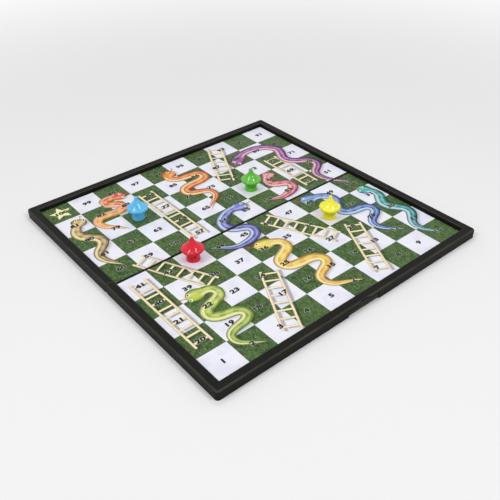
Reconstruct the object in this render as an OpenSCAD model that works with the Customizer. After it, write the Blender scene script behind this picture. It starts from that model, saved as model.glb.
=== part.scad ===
// Folding magnetic snakes and ladders board with four pawns, in millimetres.
// The board lies open on the table, the playing face up, and its centre is the origin.
// X runs along a row of squares, Y from the near half to the far half across the fold.

/* [Playing field] */
// Width of one printed square
square_w = 24; // [20:0.5:30]
// Squares along each side, an even number because the fold runs between two rows
squares = 10; // [8:2:12]
// Print that runs on outside the outer squares
print_border = 0.7; // [0.4:0.1:1.2]
// Gap between the sheets and the rim around them
sheet_gap = 0.2; // [0.1:0.05:0.4]
// Thickness of the steel sheet that holds the pawns
steel_t = 0.4; // [0.3:0.05:0.6]
// Thickness of the laminated printed sheet
print_t = 0.3; // [0.2:0.05:0.5]

/* [Case halves] */
// Width of the rim from the outer squares to the outside
rim_w = 8.5; // [7:0.1:9]
// Height of the rim over the playing face
lip_h = 3.2; // [3:0.1:4.4]
// Height of the playing face over the table
play_h = 4.6; // [4.4:0.1:8]
// Thickness of the outer skirt and of the wall along the fold
wall_t = 1.8; // [1.4:0.1:2]
// Thickness of the deck under the sheets
deck_t = 1.3; // [1:0.1:1.6]
// Thickness of the top of the hollow rim
cap_t = 1.6; // [1.2:0.1:1.8]
// Thickness of the inner wall of the rim
lip_wall_t = 1.9; // [1.5:0.1:2]
// Lean of the rim's inner face, from the sheets out to its top edge
lip_lean = 0.5; // [0.2:0.1:0.8]
// Radius of the upright outer corners
corner_r = 2.5; // [2:0.5:4]
// Radius of the rim's outer top edge
edge_r = 1.6; // [0.6:0.1:2]
// Radius of the rim's inner top edge
lip_r = 0.8; // [0.3:0.1:0.8]
// Smallest radius of the inside corners of the skirt
inner_round = 0.5; // [0.3:0.1:1]
// Gap between the two halves at the fold
seam_gap = 0.3; // [0.3:0.05:0.6]
// Strip of case left bare beside the fold on each half
seam_strip = 1.05; // [0.4:0.05:1.2]
// Bevel of the rim's top edges at the fold
seam_bevel = 0.5; // [0.2:0.1:1]

/* [Stiffening ribs] */
// Thickness of one rib behind the skirt
rib_t = 1.2; // [0.8:0.1:1.6]
// How far a rib reaches in under the deck
rib_reach = 2.6; // [1.5:0.1:4]
// Height of a rib's foot over the table
rib_foot = 0.8; // [0.4:0.1:2]

/* [Fold hinge] */
// Height of the pivots over the table, also the radius of the rounded lower edges at the fold
pivot_r = 2.6; // [2.4:0.1:3]
// Radius of the eye at each end of a link
eye_r = 2.1; // [1.8:0.1:2.2]
// Radius of a steel hinge pin
pin_r = 0.8; // [0.6:0.05:1]
// Radial play between a pin and the link that turns on it
pin_play = 0.05; // [0.02:0.01:0.1]
// Radial play between a pin and the case that grips it
pin_seat_gap = 0.01; // [0.01:0.005:0.02]
// Side play of a link between its two cheeks, on each side
link_side_gap = 0.2; // [0.1:0.05:0.3]
// Space kept round the link's eye in its slot
slot_gap = 0.4; // [0.3:0.1:0.8]

/* [Latch] */
// Width of the flip clip
clip_w = 30; // [20:1:32]
// Thickness of the clip's plate
clip_t = 1.6; // [1.2:0.1:1.8]
// Radius of the clip's rolled pivot edge
clip_eye_r = 1.5; // [1.4:0.1:1.6]
// Setback of the clip's pivot edge from the outside face
clip_set = 0.2; // [0.2:0.1:0.4]
// Height of the clip's pivot edge over the table
clip_floor = 0.3; // [0.2:0.1:0.5]
// Radius of the steel clip pin
clip_pin_r = 0.6; // [0.5:0.05:0.7]
// Length of clip pin gripped at each end
clip_pin_grip = 2.2; // [1.5:0.1:2.6]
// How far the barb stands out of the plate
barb_d = 0.8; // [0.5:0.1:0.8]
// Height of the barb
barb_h = 0.9; // [0.7:0.1:1.2]
// Space kept round the clip in its pockets
clip_gap = 0.3; // [0.3:0.05:0.5]
// Thickness of the pocket's back wall
pocket_back_t = 1.2; // [0.8:0.1:1.3]
// Thickness of the pocket's end walls
pocket_end_t = 3; // [2.8:0.1:4]
// Radius of the finger scoop over the clip
scoop_r = 20; // [15:1:30]
// Depth of the finger scoop
scoop_d = 1; // [0.6:0.1:1.2]

/* [Pawns] */
// Height of a pawn
pawn_h = 20.4; // [18:0.2:24]
// Radius of the foot
foot_r = 5.6; // [5:0.1:6.5]
// Radius of the stem just under the brim
waist_r = 4.9; // [4.2:0.1:5]
// Radius of the brim
brim_r = 8.7; // [7.6:0.1:9.6]
// Radius of the rounded tip
tip_r = 1.4; // [0.8:0.1:1.6]
// Rounding of the foot's lower edge
foot_round = 0.5; // [0.3:0.1:0.8]
// How far the rounded edge of the brim reaches in
brim_round = 1.6; // [1:0.1:2.2]
// Radius of a disc magnet
magnet_r = 3; // [2:0.1:3.6]
// Thickness of a disc magnet
magnet_t = 2; // [1:0.1:3]
// Radial gap round a magnet
magnet_gap = 0.05; // [0.02:0.01:0.1]
// Depth of a magnet's face inside the foot
magnet_sink = 0.2; // [0.1:0.05:0.4]

/* [Hidden] */
$fn = 64;

// Overrun of a cut past the face that it opens
over = 1;

// Places on the board, seen in plan: each half carries whole squares from the edge of its strip at the fold
seam = seam_gap / 2;
sheet_back = seam + seam_strip;
half_w = squares * square_w / 2 + rim_w;
half_d = sheet_back + half_w;
rim_in = rim_w - print_border - sheet_gap;
sheet_edge = half_w - rim_in - sheet_gap;
sheet_l = half_d - rim_in - sheet_gap - sheet_back;

// Heights over the table
top = play_h + lip_h;
print_low = play_h - print_t;
deck_top = print_low - steel_t;
deck_low = deck_top - deck_t;
cap_low = top - cap_t;

// The hollow channel in the rim, as distances in from the outside face
channel_in = rim_in - lip_wall_t;
channel_w = channel_in - wall_t;

// The two pivots of a hinge link lie this far from the middle of the fold
pivot_y = pivot_r + seam;
link_t = channel_w - 2 * link_side_gap;
link_waist_share = 0.72;
pin_grip_share = 0.65;
pin_out = wall_t * (1 - pin_grip_share);
pin_l = rim_in - pin_out;

// The clip's pivot, as a distance in from the outside face and a height
clip_in = clip_eye_r + clip_set;
clip_up = clip_eye_r + clip_floor;
clip_tip = cap_low - clip_gap;
pocket_w = clip_w + 2 * clip_gap;
pocket_in = clip_in + clip_eye_r + clip_gap;
housing_w = pocket_w + 2 * pocket_end_t;
scoop_low = clip_tip - barb_h;

// Where the flipped clip lies in the far half, measured up from the far half's lower edge
catch_in = clip_in + clip_t / 2 + clip_gap;
barb_in = catch_in + barb_d;
catch_top = clip_tip - 2 * clip_up - seam_gap + clip_gap;
ledge_top = catch_top - barb_h - 2 * clip_gap;

// Heights on a pawn, as shares of its height
waist_share = 0.34;
brim_low_share = 0.395;
brim_high_share = 0.555;
stem_bend = 1.8;
spire_bend = 1.5;
curve_steps = 10;
round_steps = 7;

// Places of the pawns, in squares: across from the middle, and from the fold's edge of the half
red_place_shares = [-2.53, -0.47];
yellow_place_shares = [2.37, -1.59];
green_place_shares = [1.51, 1.43];
blue_place_shares = [-2.6, 2.52];

case_black = "#1c1c1e";
steel_grey = "#b8bcc0";
print_white = "#e9e6f2";

// Plan of the near half, drawn in from the outside face and back from the fold
module half_plan(inset, back) {
    r = max(corner_r - inset, inner_round);
    e = half_w - inset;
    d = half_d - inset;
    translate([-e, r - d])
        square([2 * e, d - r - back]);
    translate([r - e, -d])
        square([2 * (e - r), d - back]);
    for (side = [-1, 1])
        translate([side * (e - r), r - d])
            circle(r);
}

// Points of a quarter round about a middle, from one angle to another
function quarter(middle, r, from, to) = [
    for (i = [0:round_steps])
        let (a = from + (to - from) * i / round_steps)
            middle + r * [cos(a), sin(a)]
];

// Section of the rim: x is the distance in from the outside face, y the height
function rim_points() = concat(
    [[0, 0]],
    quarter([edge_r, top - edge_r], edge_r, 180, 90),
    quarter([rim_in - lip_lean - lip_r, top - lip_r], lip_r, 90, 20),
    [[rim_in, play_h], [rim_in, 0]]
);

module rim_section() {
    polygon(rim_points());
}

// A straight length of rim along +X, its outside face at y = 0
module rim_bar(length) {
    rotate([90, 0, 90])
        linear_extrude(length)
            rim_section();
}

// The outer part of the rim turned round an upright corner
module rim_corner() {
    rotate_extrude(angle = 90)
        intersection() {
            translate([corner_r, 0])
                mirror([1, 0])
                    rim_section();
            square([corner_r, top + over]);
        }
}

// The near half before anything is taken out of it
module near_block() {
    straight = 2 * (half_w - corner_r);
    run = half_d - corner_r - seam;
    translate([-straight / 2, -half_d, 0])
        rim_bar(straight);
    translate([half_w, corner_r - half_d, 0])
        rotate([0, 0, 90])
            rim_bar(run);
    translate([-half_w, -seam, 0])
        rotate([0, 0, -90])
            rim_bar(run);
    translate([half_w - corner_r, corner_r - half_d, 0])
        rotate([0, 0, -90])
            rim_corner();
    translate([corner_r - half_w, corner_r - half_d, 0])
        rotate([0, 0, 180])
            rim_corner();
    translate([channel_in - half_w, channel_in - half_d, 0])
        cube([2 * (half_w - channel_in), half_d - channel_in - seam, deck_top]);
}

// The tray under the deck and the channel that hollows the rim
module near_hollows() {
    translate([0, 0, -over])
        linear_extrude(deck_low + over)
            half_plan(wall_t, seam + wall_t);
    translate([0, 0, deck_low / 2])
        linear_extrude(cap_low - deck_low / 2)
            difference() {
                half_plan(wall_t, seam + wall_t);
                translate([channel_in - half_w, channel_in - half_d])
                    square([2 * (half_w - channel_in), half_d]);
            }
}

// A rib across the channel and under the edge of the deck, its outer end at y = 0
module skirt_rib() {
    sunk = wall_t / 2;
    in = channel_in + lip_wall_t / 2;
    rotate([90, 0, 90])
        translate([0, 0, -rib_t / 2])
            linear_extrude(rib_t)
                polygon([
                    [sunk, rib_foot],
                    [sunk, cap_low + cap_t / 2],
                    [in, cap_low + cap_t / 2],
                    [in, deck_low + deck_t / 2],
                    [rim_in + rib_reach, deck_low + deck_t / 2],
                    [rim_in + rib_reach, deck_low - rib_t / 2],
                    [wall_t + rib_t, rib_foot]
                ]);
}

module near_ribs() {
    last = squares / 2 - 1;
    for (i = [1:last]) {
        for (side = [-1, 1]) {
            translate([side * i * square_w, -half_d, 0])
                skirt_rib();
            translate([side * half_w, -i * square_w - sheet_back, 0])
                rotate([0, 0, side * 90])
                    skirt_rib();
        }
    }
}

// Inner cheeks of the two hinge links, hung from the rim's inner wall
module near_cheeks() {
    cheek_y = pivot_y + eye_r + slot_gap + rib_t;
    for (side = [-1, 1])
        translate([side * (half_w - rim_in + lip_wall_t / 2) - lip_wall_t / 2, -cheek_y, 0])
            cube([lip_wall_t, cheek_y - seam, deck_low + deck_t / 2]);
}

// Solid block behind the latch pocket, which meets the rim's inner wall
module latch_housing(depth, height) {
    reach = max(depth + pocket_back_t, channel_in + lip_wall_t / 2);
    translate([-housing_w / 2, wall_t / 2 - half_d, 0])
        cube([housing_w, reach - wall_t / 2, height]);
}

// Slots for the links and seats for their pins
module near_hinge_cuts() {
    slot_y = pivot_y + eye_r + slot_gap;
    slot_h = pivot_r + eye_r + slot_gap;
    for (side = [-1, 1]) {
        translate([side * (half_w - wall_t - channel_w / 2) - channel_w / 2, -slot_y, -over])
            cube([channel_w, slot_y + over, slot_h + over]);
        hinge_pin_bar(side, -1, pin_r + pin_seat_gap, over);
    }
}

// A hinge pin, or its seat: side is -1 left and 1 right, half is -1 near and 1 far
module hinge_pin_bar(side, half, r, extra) {
    inner = half_w - rim_in - extra;
    translate([side > 0 ? inner : -inner - pin_l - extra, half * pivot_y, pivot_r])
        rotate([0, 90, 0])
            cylinder(h = pin_l + extra, r = r);
}

// The lower edge at the fold, rounded about the pivots so that the halves roll past each other
module near_fold_round() {
    difference() {
        translate([-half_w - over, -pivot_y, -over])
            cube([2 * (half_w + over), pivot_y + over, pivot_r + over]);
        translate([-half_w - 2 * over, -pivot_y, pivot_r])
            rotate([0, 90, 0])
                cylinder(h = 2 * (half_w + 2 * over), r = pivot_r);
    }
}

// The bevel of the rim's top edge at the fold
module near_seam_bevel() {
    translate([-half_w - over, -seam, top - seam_bevel])
        rotate([45, 0, 0])
            cube([2 * (half_w + over), 2 * seam_bevel, 2 * seam_bevel]);
}

// A half with its walls, ribs and hinge cheeks, shown as the near one
module half_case(pocket_depth, housing_h) {
    difference() {
        union() {
            difference() {
                near_block();
                near_hollows();
            }
            near_ribs();
            near_cheeks();
            latch_housing(pocket_depth, housing_h);
        }
        near_hinge_cuts();
        near_fold_round();
        near_seam_bevel();
    }
}

module near_case() {
    color(case_black)
        difference() {
            half_case(pocket_in, cap_low + cap_t / 2);
            translate([-pocket_w / 2, -half_d - over, -over])
                cube([pocket_w, pocket_in + over, cap_low + over]);
            clip_pin_bar(clip_pin_r + pin_seat_gap);
            translate([0, scoop_d - scoop_r - half_d, scoop_low])
                cylinder(h = top - scoop_low + over, r = scoop_r);
        }
}

module far_case() {
    color(case_black)
        mirror([0, 1, 0])
            difference() {
                half_case(barb_in, catch_top + pocket_back_t);
                translate([-pocket_w / 2, -half_d - over, -over])
                    cube([pocket_w, catch_in + over, catch_top + over]);
                translate([-pocket_w / 2, -half_d, ledge_top])
                    cube([pocket_w, barb_in, catch_top - ledge_top]);
            }
}

// One sheet on the deck, from low to high; half is -1 near and 1 far
module deck_sheet(half, low, high) {
    translate([-sheet_edge, half > 0 ? sheet_back : -sheet_back - sheet_l, low])
        cube([2 * sheet_edge, sheet_l, high - low]);
}

module near_steel_sheet() {
    color(steel_grey)
        deck_sheet(-1, deck_top, print_low);
}

module far_steel_sheet() {
    color(steel_grey)
        deck_sheet(1, deck_top, print_low);
}

module near_print() {
    color(print_white)
        deck_sheet(-1, print_low, play_h);
}

module far_print() {
    color(print_white)
        deck_sheet(1, print_low, play_h);
}

// Link with an eye at each end, one pivot in each half
module hinge_link(side) {
    waist = 2 * eye_r * link_waist_share;
    color(case_black)
        translate([side * (half_w - wall_t - channel_w / 2) - link_t / 2, 0, pivot_r])
            difference() {
                union() {
                    for (half = [-1, 1])
                        translate([0, half * pivot_y, 0])
                            rotate([0, 90, 0])
                                cylinder(h = link_t, r = eye_r);
                    translate([0, -pivot_y, -waist / 2])
                        cube([link_t, 2 * pivot_y, waist]);
                }
                for (half = [-1, 1])
                    translate([-over, half * pivot_y, 0])
                        rotate([0, 90, 0])
                            cylinder(h = link_t + 2 * over, r = pin_r + pin_play);
            }
}

module hinge_link_left() {
    hinge_link(-1);
}

module hinge_link_right() {
    hinge_link(1);
}

module hinge_pin(side, half) {
    color(steel_grey)
        hinge_pin_bar(side, half, pin_r, 0);
}

module near_pin_left() {
    hinge_pin(-1, -1);
}

module near_pin_right() {
    hinge_pin(1, -1);
}

module far_pin_left() {
    hinge_pin(-1, 1);
}

module far_pin_right() {
    hinge_pin(1, 1);
}

// The clip's pin, or its seat in the pocket's end walls
module clip_pin_bar(r) {
    length = pocket_w + 2 * clip_pin_grip;
    translate([-length / 2, clip_in - half_d, clip_up])
        rotate([0, 90, 0])
            cylinder(h = length, r = r);
}

module latch_pin() {
    color(steel_grey)
        clip_pin_bar(clip_pin_r);
}

// The clip folded up into its pocket, its barb outwards at the top
module latch_clip() {
    outer = clip_in - clip_t / 2;
    inner = clip_in + clip_t / 2;
    color(case_black)
        translate([-clip_w / 2, -half_d, 0])
            rotate([90, 0, 90])
                linear_extrude(clip_w)
                    difference() {
                        union() {
                            translate([clip_in, clip_up])
                                circle(clip_eye_r);
                            polygon([
                                [outer, clip_up],
                                [inner, clip_up],
                                [inner, clip_tip - clip_t / 4],
                                [inner - clip_t / 4, clip_tip],
                                [outer, clip_tip],
                                [outer - barb_d, clip_tip - barb_h / 2],
                                [outer - barb_d, clip_tip - barb_h],
                                [outer, clip_tip - barb_h]
                            ]);
                        }
                        translate([clip_in, clip_up])
                            circle(clip_pin_r + pin_play);
                    }
}

// Half section of a pawn: x is the radius, y the height over its foot
function stem_points() = let (high = pawn_h * waist_share) [
    for (i = [0:curve_steps])
        let (t = i / curve_steps)
            [waist_r + (foot_r - waist_r) * pow(1 - t, stem_bend),
             foot_round + (high - foot_round) * t]
];

function flare_points() = let (
    low = pawn_h * waist_share,
    high = pawn_h * brim_low_share,
    out = brim_r - brim_round
) [
    for (i = [1:round_steps - 1])
        let (a = 90 * i / round_steps)
            [out - (out - waist_r) * cos(a), low + (high - low) * sin(a)]
];

function brim_points() = let (
    low = pawn_h * brim_low_share,
    high = pawn_h * brim_high_share
) [
    for (i = [0:2 * round_steps])
        let (a = 90 * (i / round_steps - 1))
            [brim_r - brim_round + brim_round * cos(a),
             (low + high) / 2 + (high - low) / 2 * sin(a)]
];

function spire_points() = let (
    low = pawn_h * brim_high_share,
    high = pawn_h - tip_r,
    out = brim_r - brim_round
) [
    for (i = [1:curve_steps])
        let (t = i / curve_steps)
            [tip_r + (out - tip_r) * pow(1 - t, spire_bend), low + (high - low) * t]
];

function tip_points() = [
    for (i = [1:round_steps])
        let (a = 90 * i / round_steps)
            [tip_r * cos(a), pawn_h - tip_r + tip_r * sin(a)]
];

// Middle of a pawn in plan
function pawn_place(shares) = [
    shares[0] * square_w,
    shares[1] * square_w + sign(shares[1]) * sheet_back
];

module pawn(place_shares, tint) {
    color(tint)
        translate(concat(pawn_place(place_shares), play_h))
            difference() {
                rotate_extrude()
                    polygon(concat(
                        [[0, 0], [foot_r - foot_round, 0]],
                        stem_points(),
                        flare_points(),
                        brim_points(),
                        spire_points(),
                        tip_points()
                    ));
                translate([0, 0, -over])
                    cylinder(h = magnet_t + magnet_sink + over, r = magnet_r + magnet_gap);
            }
}

module pawn_magnet(place_shares) {
    color(steel_grey)
        translate(concat(pawn_place(place_shares), play_h + magnet_sink))
            cylinder(h = magnet_t, r = magnet_r);
}

near_case();
far_case();
near_steel_sheet();
far_steel_sheet();
near_print();
far_print();
hinge_link_left();
hinge_link_right();
near_pin_left();
near_pin_right();
far_pin_left();
far_pin_right();
latch_clip();
latch_pin();
pawn(red_place_shares, "#e01434");  // red_pawn
pawn(yellow_place_shares, "#f7ea2c");  // yellow_pawn
pawn(green_place_shares, "#4fbf2f");  // green_pawn
pawn(blue_place_shares, "#58bdf2");  // blue_pawn
pawn_magnet(red_place_shares);  // red_magnet
pawn_magnet(yellow_place_shares);  // yellow_magnet
pawn_magnet(green_place_shares);  // green_magnet
pawn_magnet(blue_place_shares);  // blue_magnet
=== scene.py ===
"""Looks of a folding magnetic snakes and ladders board: case, print, metal parts, pawns and stage."""

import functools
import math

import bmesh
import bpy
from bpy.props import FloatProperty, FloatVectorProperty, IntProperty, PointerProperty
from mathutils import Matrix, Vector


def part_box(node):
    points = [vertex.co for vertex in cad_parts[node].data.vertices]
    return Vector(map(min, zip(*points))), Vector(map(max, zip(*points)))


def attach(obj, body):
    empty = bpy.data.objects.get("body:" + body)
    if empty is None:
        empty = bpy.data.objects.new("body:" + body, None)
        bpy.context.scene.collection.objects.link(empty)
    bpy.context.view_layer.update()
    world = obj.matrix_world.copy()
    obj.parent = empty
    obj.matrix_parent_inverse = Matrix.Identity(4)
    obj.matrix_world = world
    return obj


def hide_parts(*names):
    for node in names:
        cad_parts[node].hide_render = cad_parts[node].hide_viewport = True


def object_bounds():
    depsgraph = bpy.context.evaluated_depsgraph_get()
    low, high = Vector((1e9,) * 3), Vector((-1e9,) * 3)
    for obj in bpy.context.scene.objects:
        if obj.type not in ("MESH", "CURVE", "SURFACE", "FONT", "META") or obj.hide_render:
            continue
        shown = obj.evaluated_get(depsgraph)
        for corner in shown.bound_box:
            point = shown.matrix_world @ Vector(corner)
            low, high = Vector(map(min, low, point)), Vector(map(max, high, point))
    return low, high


bl_info = {
    "name": "Snakes and ladders board",
    "version": (1, 0, 0),
    "blender": (4, 5, 0),
    "location": "View3D > Sidebar > Board",
    "description": "Dresses a folding snakes and ladders board with its plastics, prints, metal and pawns",
    "category": "Object",
}

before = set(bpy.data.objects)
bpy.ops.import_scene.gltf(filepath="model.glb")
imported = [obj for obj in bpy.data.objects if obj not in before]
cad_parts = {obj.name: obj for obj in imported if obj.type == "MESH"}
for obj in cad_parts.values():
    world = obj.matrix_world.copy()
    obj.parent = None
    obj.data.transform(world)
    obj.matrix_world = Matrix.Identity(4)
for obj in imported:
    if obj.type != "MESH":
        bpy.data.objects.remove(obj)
CAD_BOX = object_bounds()

# Each half is the body near_half or far_half, and each pawn rides on a body such as red_piece
HALVES = ("near", "far")
PAWNS = ("red", "yellow", "green", "blue")

# The playing field: ten squares each way, five rows of them on each half, and the height of its face
PRINT_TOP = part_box("near_print")[1]
SQUARES = 10
SQUARE = 0.024
FIELD = SQUARE * SQUARES / 2
FACE = PRINT_TOP.z
FOLD_EDGE = -PRINT_TOP.y

# Heights of the printed layers over the sheet, in films; each snake's shadow lies a step over the last
SNAKE_SHADOW_LIFT, SNAKE_SHADOW_STEP = 0.2, 0.03
LADDER_LIFT = 1.0
SNAKE_LIFT, STAR_LIFT = 2.0, 2.0
TONGUE_LIFT, PRONG_STEP = 1.6, 0.1
EYE_LIFT, PUPIL_RISE = 2.8, 0.3
HALO_LIFT, NUMBER_LIFT = 2.9, 3.4

# How far a printed shadow lies from what casts it, in squares, and how much wider it is
SHADOW_PUSH = Vector((0.06, -0.07))
SNAKE_SHADOW_WIDTH, LADDER_SHADOW_WIDTH = 1.42, 2.0

# How much further the pale edge of a number is pushed out than the number
HALO_WEIGHT = 1.65

# Ladders by the numbers of their two squares, with a shift in squares to keep the numbers clear
LADDERS = (
    (3, 24, 0.3), (7, 28, 0.1), (20, 41, 0.0), (27, 46, 0.2),
    (38, 59, -0.36), (52, 72, 0.0), (57, 84, -0.1), (74, 93, -0.25),
)

# Snakes: a name, the screen colours of skin, bands and belly, the number of bands, and the path from the head
CREAM, ICE, BLUSH = (250, 240, 190), (206, 226, 240), (248, 206, 196)
SNAKES = (
    ("orange", (246, 150, 52), (214, 92, 30), CREAM, 13,
     ((5.04, 9.42), (4.66, 8.98), (5.8, 8.4), (4.6, 7.85), (5.35, 7.2), (4.6, 6.4))),
    ("blue", (116, 158, 222), (46, 70, 150), ICE, 15,
     ((7.3, 4.75), (8.3, 4.3), (7.95, 3.35), (8.9, 2.85), (8.2, 2.1), (8.75, 1.25))),
    ("purple", (176, 96, 178), (110, 44, 120), BLUSH, 17,
     ((7.2, 8.2), (8.15, 8.72), (9.2, 8.2), (8.95, 7.2), (9.68, 6.35), (9.05, 5.6), (9.75, 4.35))),
    ("yellow", (246, 222, 92), (228, 158, 44), CREAM, 13,
     ((4.3, 3.75), (5.2, 3.3), (4.4, 2.5), (5.6, 1.9), (4.8, 1.15), (5.75, 0.4))),
    ("lime", (196, 214, 82), (112, 146, 44), CREAM, 13,
     ((1.16, 3.12), (2.1, 2.86), (1.25, 2.15), (2.15, 1.55), (1.2, 1.0), (1.8, 0.3))),
    ("coral", (232, 84, 62), (248, 206, 84), BLUSH, 11,
     ((2.82, 9.14), (1.95, 9.12), (2.4, 8.5), (1.2, 8.2), (1.8, 7.2))),
    ("violet", (130, 136, 214), (66, 58, 140), ICE, 11,
     ((5.75, 5.8), (4.8, 5.75), (4.3, 5.15), (4.95, 4.55), (4.1, 4.1), (3.2, 4.6))),
    ("sand", (212, 184, 116), (126, 92, 46), CREAM, 11,
     ((0.82, 8.76), (0.32, 7.95), (0.78, 7.2), (0.3, 6.45), (0.66, 5.6))),
    ("teal", (84, 186, 178), (24, 100, 112), ICE, 13,
     ((9.45, 4.05), (9.75, 3.4), (9.4, 2.7), (9.75, 1.95), (9.2, 1.15), (9.55, 0.4))),
    ("rose", (240, 144, 150), (160, 44, 84), BLUSH, 9,
     ((7.75, 6.9), (7.28, 6.3), (7.85, 5.75), (7.2, 5.3), (6.4, 5.5))),
)

# A snake's half width from nose to tail, as a share of its full width: place along the body, then the share
SNAKE_TAPER = (
    (0.0, 0.05), (0.008, 0.3), (0.03, 0.56), (0.06, 0.64), (0.09, 0.54),
    (0.125, 0.4), (0.25, 0.47), (0.55, 0.46), (0.8, 0.32), (1.0, 0.02),
)

# A snake's face, in widths of the snake behind, before or beside its nose, and the cuts round an eye;
# the pupil is in radii of the eye
EYE_BACK, EYE_ASIDE, EYE_SIDES = 0.3, 0.3, 20
PUPIL_AHEAD, PUPIL_RADIUS = 0.25, 0.55
TONGUE_ROOT, TONGUE_FORK, TONGUE_TIP = 0.05, 0.3, 0.52
TONGUE_ASIDE, TONGUE_HALF_WIDTH = 0.14, 0.035

# The pawn: radii in metres of foot, waist, tip and two rounded edges, then heights as shares of the whole,
# and the powers by which its two slopes close in
FOOT, WAIST, TIP = 0.0056, 0.0049, 0.0014
FOOT_ROUND, BRIM_ROUND = 0.0005, 0.0016
WAIST_TOP, BRIM_LOW, BRIM_TOP = 0.34, 0.395, 0.555
BODY_POWER, SPIRE_POWER = 1.8, 1.5
SEAT_GAP, SEAT_CHAMFER = 0.00005, 0.00015
SHARP_ANGLE = math.radians(50)

# Lamps: a name, the place in metres, the width and depth of the face, and the power in watts
LAMPS = (
    ("left lamp", (-0.62, 0.02, 0.8), (0.25, 0.22), 2.5),
    ("right lamp", (0.14, -0.6, 0.8), (0.25, 0.22), 2.5),
    ("back lamp", (0.27, 0.33, 0.9), (0.5, 0.1), 1.2),
)


# Settings


def paint(red, green, blue):
    """A printed colour, given as it looks on a screen, in linear light."""
    return tuple(
        c / 12.92 if c <= 0.04045 else ((c + 0.055) / 1.055) ** 2.4
        for c in (red / 255, green / 255, blue / 255)
    )


def colour_setting(name, description, default):
    """A colour in linear light."""
    return FloatVectorProperty(
        name=name, description=description, subtype="COLOR", size=3, min=0, max=1, default=default
    )


def number_setting(name, description, default, **more):
    """A number, from a fifth of its default to five times that."""
    limits = {"min": default / 5, "max": default * 5}
    return FloatProperty(name=name, description=description, default=default, **limits, **more)


def length_setting(name, description, default):
    """A length in metres."""
    return number_setting(name, description, default, unit="LENGTH")


def count_setting(name, description, default):
    """A whole number, from a quarter of its default to four times that."""
    limits = {"min": default // 4, "max": default * 4}
    return IntProperty(name=name, description=description, default=default, **limits)


class CaseSettings(bpy.types.PropertyGroup):
    """The moulded plastic of the case, the links and the clip."""

    plastic: colour_setting("Plastic", "Colour of the moulded case", paint(16, 16, 13))
    # The edge colour is a painted highlight on the rounded edges, standing also for wear from handling
    rubbed: colour_setting("Rubbed edges", "Painted highlight on the rounded edges, with wear from handling", paint(62, 62, 54))
    grain: length_setting("Grain", "Size of the fine moulded grain", 0.0005)


class PrintSettings(bpy.types.PropertyGroup):
    """The laminated printed sheets and what is printed on them."""

    pale: colour_setting("Pale squares", "Colour of the odd squares", paint(235, 236, 245))
    pale_wash: colour_setting("Pale wash", "Faint wash over the odd squares", paint(224, 224, 239))
    grass: colour_setting("Grass", "Main green of the even squares", paint(62, 92, 44))
    grass_deep: colour_setting("Deep grass", "Shadows between the printed blades", paint(34, 60, 30))
    grass_light: colour_setting("Light grass", "Tips of the printed blades", paint(110, 136, 80))
    ink: colour_setting("Ink", "Colour of the numbers and the border", paint(22, 20, 24))
    halo: colour_setting("Halo", "Pale edge round the numbers on the green squares", paint(186, 202, 172))
    digit_height: length_setting("Digit height", "Height of a printed digit", 0.0039)
    digit_stretch: number_setting("Digit stretch", "Width of a digit against its usual width", 1.38)
    digit_weight: number_setting("Digit weight", "Push of an outline, as a share of the text size", 0.05)
    film: length_setting("Film", "Thickness of one printed layer", 0.00003)


class LadderSettings(bpy.types.PropertyGroup):
    """The printed ladders."""

    width: length_setting("Width", "Width of a ladder between the middles of its rails", 0.0126)
    rail: length_setting("Rail", "Width of one rail", 0.0021)
    rung: length_setting("Rung", "Width of one rung", 0.0019)
    step: length_setting("Step", "Distance from rung to rung", 0.0076)
    wood: colour_setting("Wood", "Main colour of the printed wood", paint(246, 232, 190))
    wood_edge: colour_setting("Wood edge", "Shaded edge of the printed wood", paint(190, 160, 104))


class SnakeSettings(bpy.types.PropertyGroup):
    """The printed snakes."""

    width: length_setting("Width", "About the width of a snake's body at its middle", 0.0104)
    rings: count_setting("Rings", "Cuts along one snake", 220)
    eye: length_setting("Eye", "Radius of an eye", 0.0014)


class PawnSettings(bpy.types.PropertyGroup):
    """The four moulded pawns."""

    red: colour_setting("Red", "Colour of the red pawn", paint(230, 4, 44))
    yellow: colour_setting("Yellow", "Colour of the yellow pawn", paint(255, 244, 58))
    green: colour_setting("Green", "Colour of the green pawn", paint(102, 195, 62))
    blue: colour_setting("Blue", "Colour of the blue pawn", paint(96, 200, 251))
    sides: count_setting("Sides", "Cuts round a pawn", 128)


class MetalSettings(bpy.types.PropertyGroup):
    """The steel sheets and pins and the plated magnets."""

    steel: colour_setting("Steel", "Colour of the sheets and pins", (0.56, 0.57, 0.58))
    nickel: colour_setting("Nickel", "Colour of the magnets' plating", (0.66, 0.65, 0.62))


class StageSettings(bpy.types.PropertyGroup):
    """Floor, lamps and camera."""

    floor: colour_setting("Floor", "Colour of the floor", (0.86, 0.86, 0.86))
    lens: number_setting("Lens", "Focal length in millimetres on a 36 mm sensor", 47.0)
    eye: FloatVectorProperty(
        name="Camera place", description="Where the camera stands", subtype="TRANSLATION",
        default=(-0.2749, -0.3399, 0.3052),
    )
    turn: FloatVectorProperty(
        name="Camera turn", description="How the camera is turned", subtype="EULER",
        default=tuple(math.radians(a) for a in (53.0, 0.587, -39.9)),
    )
    sky: number_setting("Sky", "Strength of the even light from all round", 0.66)


class BoardSettings(bpy.types.PropertyGroup):
    """All settings of the board, by group."""

    case: PointerProperty(type=CaseSettings)
    sheet: PointerProperty(type=PrintSettings)
    ladder: PointerProperty(type=LadderSettings)
    snake: PointerProperty(type=SnakeSettings)
    pawn: PointerProperty(type=PawnSettings)
    metal: PointerProperty(type=MetalSettings)
    stage: PointerProperty(type=StageSettings)


# Node helpers


def feed(sockets, sources):
    """Wires sockets from other ones or sets their values, by name or in order."""
    pairs = sources.items() if isinstance(sources, dict) else enumerate(sources)
    for key, source in pairs:
        socket = sockets[key]
        if isinstance(source, bpy.types.NodeSocket):
            socket.id_data.links.new(source, socket)
        elif socket.type == "RGBA":
            socket.default_value = (*source[:3], 1.0)
        else:
            socket.default_value = source


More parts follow.
